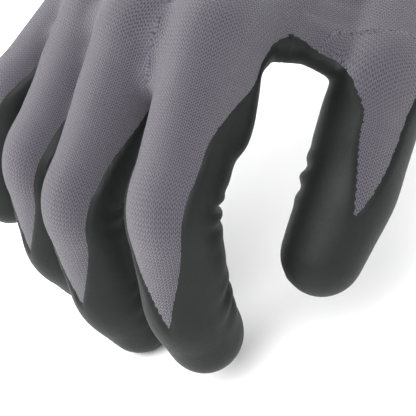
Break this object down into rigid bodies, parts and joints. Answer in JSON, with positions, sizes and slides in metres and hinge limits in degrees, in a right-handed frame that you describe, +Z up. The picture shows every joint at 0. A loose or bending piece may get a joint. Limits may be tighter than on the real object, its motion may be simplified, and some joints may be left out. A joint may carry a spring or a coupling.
{
  "type": "work glove",
  "caption": "Knitted work glove for the right hand, with a rib cuff and a foamed nitrile coating over the palm and fingertips, in the shape of a relaxed hand.",
  "frame": {"origin": "centre of the cuff's mouth", "axes": "+Y out of the cuff's mouth along the forearm, +Z up out of the back of the hand, +X to the thumb's side"},
  "size_m": [0.1307, 0.199, 0.1168],
  "materials": {
    "knit_liner": "seamless nylon knit",
    "foam_nitrile": "matt foamed nitrile dip",
    "rib_knit": "elastic rib knit",
    "overlock_thread": "textured polyester overlock thread"
  },
  "bodies": {
    "cuff": {"knit_cuff": "rib_knit", "overlock_hem": "overlock_thread"},
    "palm": {"palm_liner": "knit_liner", "palm_coating": "foam_nitrile"},
    "index_proximal": {"index_proximal_liner": "knit_liner", "index_proximal_coating": "foam_nitrile"},
    "index_middle": {"index_middle_liner": "knit_liner", "index_middle_coating": "foam_nitrile"},
    "index_distal": {"index_distal_liner": "knit_liner", "index_distal_coating": "foam_nitrile"},
    "middle_proximal": {"middle_proximal_liner": "knit_liner", "middle_proximal_coating": "foam_nitrile"},
    "middle_middle": {"middle_middle_liner": "knit_liner", "middle_middle_coating": "foam_nitrile"},
    "middle_distal": {"middle_distal_liner": "knit_liner", "middle_distal_coating": "foam_nitrile"},
    "ring_proximal": {"ring_proximal_liner": "knit_liner", "ring_proximal_coating": "foam_nitrile"},
    "ring_middle": {"ring_middle_liner": "knit_liner", "ring_middle_coating": "foam_nitrile"},
    "ring_distal": {"ring_distal_liner": "knit_liner", "ring_distal_coating": "foam_nitrile"},
    "little_proximal": {"little_proximal_liner": "knit_liner", "little_proximal_coating": "foam_nitrile"},
    "little_middle": {"little_middle_liner": "knit_liner", "little_middle_coating": "foam_nitrile"},
    "little_distal": {"little_distal_liner": "knit_liner", "little_distal_coating": "foam_nitrile"},
    "thumb_proximal": {"thumb_proximal_liner": "knit_liner", "thumb_proximal_coating": "foam_nitrile"},
    "thumb_distal": {"thumb_distal_liner": "knit_liner", "thumb_distal_coating": "foam_nitrile"}
  },
  "joints": [
    {"name": "wrist_bend", "type": "hinge", "parent": "cuff", "child": "palm", "pos_m": [0, -0.062, 0], "axis": [1, 0, 0], "range_deg": [-30, 30]},
    {"name": "index_knuckle", "type": "hinge", "parent": "palm", "child": "index_proximal", "pos_m": [0.027, -0.15, 0.004], "axis": [0.9852, 0.1702, -0.0227], "range_deg": [-41, 21]},
    {"name": "index_middle_joint", "type": "hinge", "parent": "index_proximal", "child": "index_middle", "pos_m": [0.03235, -0.18507, -0.02683], "axis": [0.9852, 0.1702, -0.0227], "range_deg": [-40, 34]},
    {"name": "index_tip_joint", "type": "hinge", "parent": "index_middle", "child": "index_distal", "pos_m": [0.03247, -0.18934, -0.05349], "axis": [0.9852, 0.1702, -0.0227], "range_deg": [-22.61, 19.22]},
    {"name": "middle_knuckle", "type": "hinge", "parent": "palm", "child": "middle_proximal", "pos_m": [0.0055, -0.154, 0.006], "axis": [0.9879, -0.1459, -0.0523], "range_deg": [-49, 13]},
    {"name": "middle_middle_joint", "type": "hinge", "parent": "middle_proximal", "child": "middle_middle", "pos_m": [-0.00138, -0.18681, -0.03244], "axis": [0.9879, -0.1459, -0.0523], "range_deg": [-42, 32]},
    {"name": "middle_tip_joint", "type": "hinge", "parent": "middle_middle", "child": "middle_distal", "pos_m": [-0.00291, -0.18603, -0.06339], "axis": [0.9879, -0.1459, -0.0523], "range_deg": [-21.01, 16.01]},
    {"name": "ring_knuckle", "type": "hinge", "parent": "palm", "child": "ring_proximal", "pos_m": [-0.0155, -0.148, 0.004], "axis": [0.9801, -0.136, -0.1444], "range_deg": [-45, 17]},
    {"name": "ring_middle_joint", "type": "hinge", "parent": "ring_proximal", "child": "ring_middle", "pos_m": [-0.02482, -0.18026, -0.02889], "axis": [0.9801, -0.136, -0.1444], "range_deg": [-44, 30]},
    {"name": "ring_tip_joint", "type": "hinge", "parent": "ring_middle", "child": "ring_distal", "pos_m": [-0.02918, -0.18018, -0.05857], "axis": [0.9801, -0.136, -0.1444], "range_deg": [-24.21, 16.51]},
    {"name": "little_knuckle", "type": "hinge", "parent": "palm", "child": "little_proximal", "pos_m": [-0.034, -0.138, -0.001], "axis": [0.9339, -0.3216, -0.1564], "range_deg": [-32, 30]},
    {"name": "little_middle_joint", "type": "hinge", "parent": "little_proximal", "child": "little_middle", "pos_m": [-0.04747, -0.16745, -0.02089], "axis": [0.9339, -0.3216, -0.1564], "range_deg": [-34, 40]},
    {"name": "little_tip_joint", "type": "hinge", "parent": "little_middle", "child": "little_distal", "pos_m": [-0.05336, -0.17488, -0.04074], "axis": [0.9339, -0.3216, -0.1564], "range_deg": [-19.01, 22.36]},
    {"name": "thumb_knuckle", "type": "hinge", "parent": "palm", "child": "thumb_proximal", "pos_m": [0.04954, -0.11702, -0.02064], "axis": [0.5253, 0.5348, -0.6618], "range_deg": [-24, 2]},
    {"name": "thumb_tip_joint", "type": "hinge", "parent": "thumb_proximal", "child": "thumb_distal", "pos_m": [0.05577, -0.14686, -0.0398], "axis": [0.5253, 0.5348, -0.6618], "range_deg": [-16.5, 9.5]}
  ],
  "couplings": [
    {"joint": "index_tip_joint", "follows": "index_middle_joint", "ratio": 0.565},
    {"joint": "middle_tip_joint", "follows": "middle_middle_joint", "ratio": 0.5},
    {"joint": "ring_tip_joint", "follows": "ring_middle_joint", "ratio": 0.55},
    {"joint": "little_tip_joint", "follows": "little_middle_joint", "ratio": 0.55882}
  ]
}
